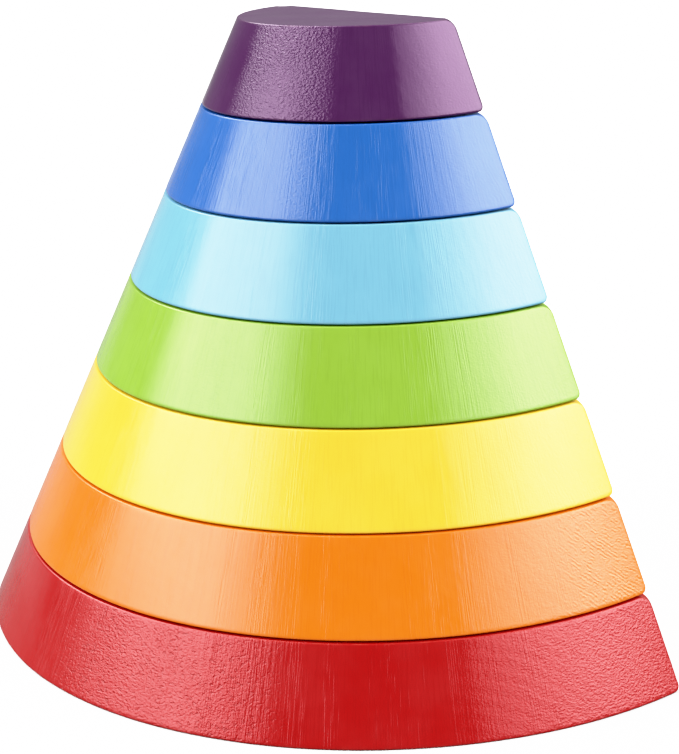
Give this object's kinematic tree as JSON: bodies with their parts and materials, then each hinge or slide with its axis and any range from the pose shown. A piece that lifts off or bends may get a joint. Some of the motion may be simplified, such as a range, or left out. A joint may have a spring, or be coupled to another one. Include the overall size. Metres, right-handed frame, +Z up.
{
  "type": "half-cone stacking block set",
  "caption": "Free-standing stack of solid painted wooden blocks, each a half disc with a sloping round front and a flat back, that together form half a cone with a flat top.",
  "frame": {"origin": "middle of the bounding box's base, on the surface that the stack stands on", "axes": "+Z up the stack, +Y out of the flat backs, -Y out of the curved fronts, +X along the flat backs to one end of the half discs; the YZ plane is the plane of symmetry"},
  "size_m": [0.1934, 0.0968, 0.1397],
  "materials": {
    "red_paint": "semi-gloss red paint over solid wood, wood grain showing through as fine relief",
    "orange_paint": "semi-gloss orange paint over solid wood, wood grain showing through as fine relief",
    "yellow_paint": "semi-gloss yellow paint over solid wood, wood grain showing through as fine relief",
    "green_paint": "semi-gloss green paint over solid wood, wood grain showing through as fine relief",
    "light_blue_paint": "semi-gloss light blue paint over solid wood, wood grain showing through as fine relief",
    "blue_paint": "semi-gloss blue paint over solid wood, wood grain showing through as fine relief",
    "purple_paint": "semi-gloss purple paint over solid wood, wood grain showing through as fine relief"
  },
  "bodies": {
    "red_block": {"red_block": "red_paint"},
    "orange_block": {"orange_block": "orange_paint"},
    "yellow_block": {"yellow_block": "yellow_paint"},
    "green_block": {"green_block": "green_paint"},
    "light_blue_block": {"light_blue_block": "light_blue_paint"},
    "blue_block": {"blue_block": "blue_paint"},
    "purple_block": {"purple_block": "purple_paint"}
  },
  "joints": [
    {"name": "orange_lift", "type": "slide", "parent": "red_block", "child": "orange_block", "axis": [0, 0, 1], "range_m": [0, 0.03]},
    {"name": "yellow_lift", "type": "slide", "parent": "orange_block", "child": "yellow_block", "axis": [0, 0, 1], "range_m": [0, 0.03]},
    {"name": "green_lift", "type": "slide", "parent": "yellow_block", "child": "green_block", "axis": [0, 0, 1], "range_m": [0, 0.03]},
    {"name": "light_blue_lift", "type": "slide", "parent": "green_block", "child": "light_blue_block", "axis": [0, 0, 1], "range_m": [0, 0.03]},
    {"name": "blue_lift", "type": "slide", "parent": "light_blue_block", "child": "blue_block", "axis": [0, 0, 1], "range_m": [0, 0.03]},
    {"name": "purple_lift", "type": "slide", "parent": "blue_block", "child": "purple_block", "axis": [0, 0, 1], "range_m": [0, 0.03]}
  ]
}
